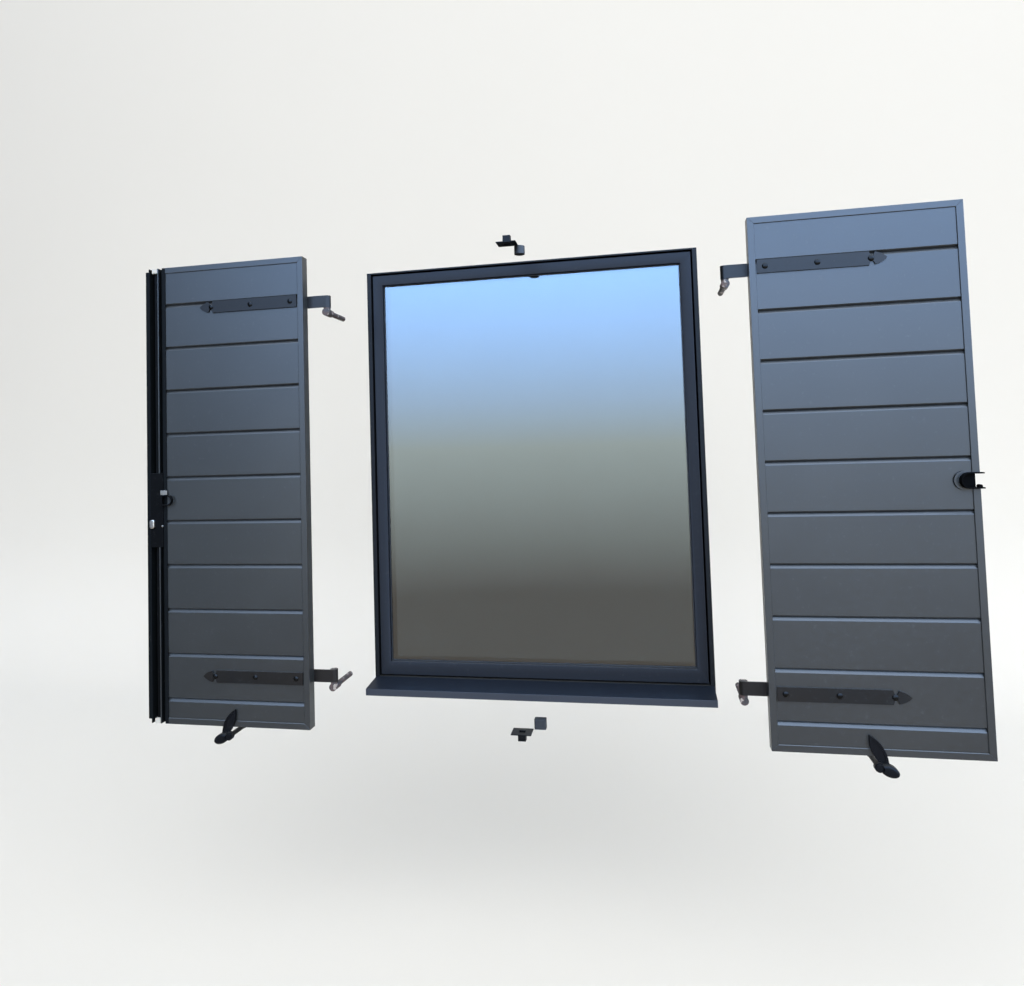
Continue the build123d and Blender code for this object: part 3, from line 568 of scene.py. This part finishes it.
class OBJECT_OT_shutter_lock(bpy.types.Operator):
    """The left leaf's lock: case, handle, rods in their guides and latch tongue"""
    bl_idname = "object.shutter_lock"
    bl_label = "Lock"

    def execute(self, context):
        s = settings("shutter_hardware")
        dust = settings("shutter_leaf").dust
        black = coated_metal("coated_lock", s.lock, s.lock, dust, roughness=0.5, peel=s.peel,
                             dust_amount=0.1, sheen=0.07)
        plating = plated_steel("plated_steel", s.plating)
        nylon = moulded_plastic("moulded_nylon", s.nylon, roughness=0.5, subsurface=0.1)
        for node in ("lock_case", "lock_handle", "upper_rod", "lower_rod"):
            rounded(node, f"{node}_rounded", s.edge_round / 2, black)
        rounded("latch_tongue", "latch_tongue_rounded", s.edge_round, plating)
        rounded("rod_guides", "rod_guides_rounded", s.edge_round, nylon)
        return {"FINISHED"}


class OBJECT_OT_shutter_catch(bpy.types.Operator):
    """The right leaf's cup catch: a flange in the leaf's coat round a black rim and pocket, whose black is
    partly painted shade of the deep pocket
    """
    bl_idname = "object.shutter_catch"
    bl_label = "Catch"

    def execute(self, context):
        s = settings("shutter_hardware")
        leaf = settings("shutter_leaf")
        coat = coated_metal("powder_coated_flange", leaf.coat, leaf.coat_shade, leaf.dust, roughness=0.33,
                            peel=leaf.peel)
        # Black plastic of the catch, also painted shade: the pocket is drawn shallow and its black stands in
        # for the shade deep inside it
        black = coated_metal("catch_black_and_painted_shade", s.lock, s.lock, s.lock, roughness=0.6, peel=s.peel,
                             dust_amount=0.0, sheen=0.03)
        edge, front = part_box("catch_cup")[0][:2]
        rounded("catch_cup", "catch_cup_rounded", s.edge_round / 2, coat, black,
                lambda middle, normal: self.black(middle, normal, edge, front, s))
        return {"FINISHED"}

    def black(self, middle, normal, edge, front, s):
        """True for every face but the flange's front. These take the black, which in the pocket is also
        painted shade.
        """
        on_rim = middle.y < front + s.catch_rim
        on_floor = middle.x > edge + s.catch_flange
        return on_rim or on_floor or normal.y > -SQUARE_ON


class OBJECT_OT_shutter_window(bpy.types.Operator):
    """Window frame, sash, gasket, the two panes with their spacer bar, and the sill"""
    bl_idname = "object.shutter_window"
    bl_label = "Window"

    def execute(self, context):
        s = settings("shutter_window")
        dust = settings("shutter_leaf").dust
        coat = coated_metal("powder_coated_sash", s.coat, s.coat, dust, roughness=0.38, peel=s.peel,
                            dust_amount=0.3, sheen=0.15)
        # The outer frame's near-black coat is the window's dark coat plus painted shade of the reveal
        outer = coated_metal("framing_painted_shade", s.framing_coat_and_shade, s.framing_coat_and_shade, dust, roughness=0.45,
                             peel=s.peel, dust_amount=0.2, sheen=0.15)
        # The sill's top and ends take the dark coat as painted shade of the reveal; only the front lip keeps
        # the paler coat
        top = coated_metal("sill_top_painted_shade", s.sill, s.sill, dust, roughness=0.40, peel=s.peel,
                           dust_amount=0.03, sheen=0.08)
        lip = coated_metal("coated_sill_lip", s.sill_lip, s.sill_lip, dust, roughness=0.40, peel=s.peel,
                           dust_amount=0.2, sheen=0.35)
        rubber = moulded_plastic("glazing_rubber", s.rubber, roughness=0.55)
        rounded("outer_frame", "outer_frame_rounded", s.edge_round, outer)
        rounded("window_sash", "window_sash_rounded", s.edge_round, coat)
        rounded("glazing_gasket", "glazing_gasket_rounded", s.edge_round, rubber)
        self.panes(s)
        rounded("sill", "sill_rounded", s.edge_round, top, lip, lambda middle, normal: normal.y < -SQUARE_ON)
        return {"FINISHED"}

    def panes(self, s):
        """Double glazing: two panes of float glass apart on a spacer bar, with a dark seal round it."""
        low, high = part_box("glazing_unit")
        glass = coated_glass("coated_float_glass", s.glass)
        bar = coated_metal("spacer_bar", s.spacer, s.spacer, s.spacer, roughness=0.45, peel=s.peel / 2,
                           dust_amount=0.0)
        seal = moulded_plastic("edge_seal", s.rubber, roughness=0.6)
        for name, front, back in (("outer_pane", low[1], low[1] + s.pane),
                                  ("inner_pane", high[1] - s.pane, high[1])):
            shape = bmesh.new()
            outline = ((low[0], low[2]), (high[0], low[2]), (high[0], high[2]), (low[0], high[2]))
            points = [shape.verts.new((x, y, z)) for y in (front, back) for x, z in outline]
            shape.faces.new(points[:4])
            shape.faces.new(points[4:])
            for step in range(4):
                after = (step + 1) % 4
                shape.faces.new((points[step], points[after], points[4 + after], points[4 + step]))
            made(name, shape, glass, "glazing_unit", s.edge_round)
        for name, inset, width, material in (("edge_seal", 0.0, s.seal, seal),
                                             ("spacer_bar", s.seal, s.bar, bar)):
            shape = bmesh.new()
            ring_frame(shape, (low[0] + inset, low[2] + inset), (high[0] - inset, high[2] - inset), width,
                       low[1] + s.pane, high[1] - s.pane)
            made(name, shape, material, "glazing_unit", s.edge_round / 2)


class OBJECT_OT_shutter_stage(bpy.types.Operator):
    """Floor, backdrop, sky light and camera"""
    bl_idname = "object.shutter_stage"
    bl_label = "Stage"

    def execute(self, context):
        s = settings("shutter_stage")
        self.floor(s)
        self.sky(s)
        self.dome(s)
        self.camera(s)
        context.scene.view_settings.view_transform = "Standard"
        return {"FINISHED"}

    def floor(self, s):
        """One sheet that runs along the floor and bends up behind into the backdrop."""
        bend, back, front, half, top, steps = 0.8, 2.6, -0.6, 7.0, 6.0, 12
        line = [(front, s.floor_level)]
        for step in range(steps + 1):
            angle = pi / 2 * step / steps
            line.append((back - bend + bend * sin(angle), s.floor_level + bend - bend * cos(angle)))
        line.append((back, top))
        shape = bmesh.new()
        rows = [[shape.verts.new((x, y, z)) for x in (-half, half)] for y, z in line]
        for low, high in zip(rows, rows[1:]):
            shape.faces.new((low[0], low[1], high[1], high[0]))
        mesh = bpy.data.meshes.new("studio_sweep")
        shape.to_mesh(mesh)
        shape.free()
        for polygon in mesh.polygons:
            polygon.use_smooth = True
        sweep = bpy.data.objects.new("studio_sweep", mesh)
        bpy.context.scene.collection.objects.link(sweep)
        material, tree, shader, where = new_material("painted_studio_sweep")
        cloud = put(tree, "ShaderNodeTexNoise", {"Vector": where, "Scale": 0.6, "Detail": 2.0})
        shade = tuple(c * 0.97 for c in s.floor)
        mixed = put(tree, "ShaderNodeMix", {"Factor": cloud.outputs["Fac"], "A": rgba(s.floor),
                                            "B": rgba(shade)}, data_type="RGBA")
        tree.links.new(mixed.outputs["Result"], shader.inputs["Base Color"])
        shader.inputs["Roughness"].default_value = 0.9
        shader.inputs["Specular IOR Level"].default_value = 0.1
        mesh.materials.append(material)

    def sky(self, s):
        """The sky that coats and glass mirror: dim from below, blue and bright with height, dying away to
        the left. It lights nothing else, and the camera itself sees plain white."""
        world = bpy.data.worlds.new("mirrored_sky")
        world.use_nodes = True
        tree = world.node_tree
        tree.nodes.clear()
        up = put(tree, "ShaderNodeSeparateXYZ", {0: put(tree, "ShaderNodeTexCoord").outputs["Generated"]})
        height = put(tree, "ShaderNodeMapRange", {"Value": up.outputs["Z"], "From Min": -1.0,
                                                  "From Max": 1.0})
        ramp = put(tree, "ShaderNodeValToRGB", {"Fac": height.outputs[0]})
        stops = ramp.color_ramp.elements
        stops[0].color = rgba(s.mirror_low)
        stops[1].color = rgba(s.mirror_top)
        for level, tone in ((0.40, s.mirror_low), (0.50, s.mirror_level), (0.64, s.mirror_high)):
            stops.new(level).color = rgba(tone)
        side = put(tree, "ShaderNodeMapRange", {"Value": up.outputs["X"], "From Min": -0.57,
                                                "From Max": -0.45, "To Max": s.mirror_strength},
                   interpolation_type="SMOOTHSTEP")
        mirrored = put(tree, "ShaderNodeBackground", {"Color": ramp.outputs["Color"],
                                                      "Strength": side.outputs[0]})
        plain = put(tree, "ShaderNodeBackground", {"Color": (1.0, 1.0, 1.0, 1.0), "Strength": 0.9})
        seen = put(tree, "ShaderNodeLightPath").outputs["Is Camera Ray"]
        both = put(tree, "ShaderNodeMixShader", {0: seen, 1: mirrored.outputs[0], 2: plain.outputs[0]})
        put(tree, "ShaderNodeOutputWorld", {"Surface": both.outputs[0]})
        bpy.context.scene.world = world
        world.cycles_visibility.diffuse = False

    def dome(self, s):
        """A far dome that gives the soft neutral light: pale above, dim below, with one broad bright field
        high in front on the right. Nothing mirrors it."""
        shape = bmesh.new()
        bmesh.ops.create_icosphere(shape, subdivisions=3, radius=s.dome_radius)
        mesh = bpy.data.meshes.new("light_dome")
        shape.to_mesh(mesh)
        shape.free()
        material = bpy.data.materials.new("soft_light")
        material.use_nodes = True
        tree = material.node_tree
        tree.nodes.clear()
        way = put(tree, "ShaderNodeVectorMath", {0: put(tree, "ShaderNodeTexCoord").outputs["Object"]},
                  operation="NORMALIZE").outputs[0]
        up = put(tree, "ShaderNodeSeparateXYZ", {0: way})
        above = put(tree, "ShaderNodeMapRange", {"Value": up.outputs["Z"], "From Min": -0.08,
                                                 "From Max": 0.16}, interpolation_type="SMOOTHSTEP")
        base = put(tree, "ShaderNodeMix", {"Factor": above.outputs[0], "A": rgba(s.ground),
                                           "B": rgba(s.sky)}, data_type="RGBA")
        toward = put(tree, "ShaderNodeVectorMath", {0: way, 1: Vector(s.bright_way).normalized()},
                     operation="DOT_PRODUCT")
        field = put(tree, "ShaderNodeMapRange", {"Value": toward.outputs["Value"],
                                                 "From Min": cos(s.field_edge),
                                                 "From Max": cos(s.field_core),
                                                 "To Max": s.field_strength},
                    interpolation_type="SMOOTHSTEP")
        even = put(tree, "ShaderNodeEmission", {"Color": base.outputs["Result"], "Strength": 1.0})
        bright = put(tree, "ShaderNodeEmission", {"Color": rgba(s.field), "Strength": field.outputs[0]})
        light = put(tree, "ShaderNodeAddShader", {0: even.outputs[0], 1: bright.outputs[0]})
        put(tree, "ShaderNodeOutputMaterial", {"Surface": light.outputs[0]})
        mesh.materials.append(material)
        dome = bpy.data.objects.new("light_dome", mesh)
        dome.visible_camera = False
        dome.visible_glossy = False
        dome.visible_transmission = False
        dome.visible_shadow = False
        bpy.context.scene.collection.objects.link(dome)

    def camera(self, s):
        """The camera at the photograph's place and angle."""
        lens = bpy.data.cameras.new("camera")
        lens.sensor_fit = "HORIZONTAL"
        lens.sensor_width = s.sensor
        lens.lens = s.lens
        lens.shift_y = s.shift
        lens.clip_start = 0.05
        camera = bpy.data.objects.new("camera", lens)
        aim = (Matrix.Rotation(s.yaw, 4, "Z") @ Matrix.Rotation(s.pitch, 4, "X")
               @ Matrix.Rotation(s.roll, 4, "Y") @ Matrix.Rotation(pi / 2, 4, "X"))
        camera.matrix_world = Matrix.Translation((s.camera_x, s.camera_y, s.camera_z)) @ aim
        bpy.context.scene.collection.objects.link(camera)
        bpy.context.scene.camera = camera


class VIEW3D_PT_shutters(bpy.types.Panel):
    """Lists the settings and steps of the shutters"""
    bl_idname = "VIEW3D_PT_shutters"
    bl_label = "Window shutters"
    bl_space_type = "VIEW_3D"
    bl_region_type = "UI"
    bl_category = "Shutters"

    def draw(self, context):
        for group, operators in STEPS:
            box = self.layout.box()
            held = getattr(context.scene, group)
            for name in type(held).__annotations__:
                box.prop(held, name)
            for operator in operators:
                box.operator(operator.bl_idname)


GROUPS = {
    "shutter_leaf": ShutterLeafSettings,
    "shutter_hardware": ShutterHardwareSettings,
    "shutter_window": ShutterWindowSettings,
    "shutter_stage": ShutterStageSettings,
}
STEPS = (
    ("shutter_leaf", (OBJECT_OT_shutter_leaves,)),
    ("shutter_hardware", (OBJECT_OT_shutter_straps, OBJECT_OT_shutter_wall_irons, OBJECT_OT_shutter_lock,
                          OBJECT_OT_shutter_catch)),
    ("shutter_window", (OBJECT_OT_shutter_window,)),
    ("shutter_stage", (OBJECT_OT_shutter_stage,)),
)
OPERATORS = [operator for _, operators in STEPS for operator in operators]
CLASSES = (*GROUPS.values(), *OPERATORS, VIEW3D_PT_shutters)


def register():
    for item in CLASSES:
        bpy.utils.register_class(item)
    for name, group in GROUPS.items():
        setattr(bpy.types.Scene, name, bpy.props.PointerProperty(type=group))


def unregister():
    for name in GROUPS:
        delattr(bpy.types.Scene, name)
    for item in reversed(CLASSES):
        bpy.utils.unregister_class(item)


def main():
    """Dress the shutters step by step."""
    register()
    for operator in OPERATORS:
        getattr(bpy.ops.object, operator.bl_idname.split(".")[1])()


if __name__ == "__main__":
    main()
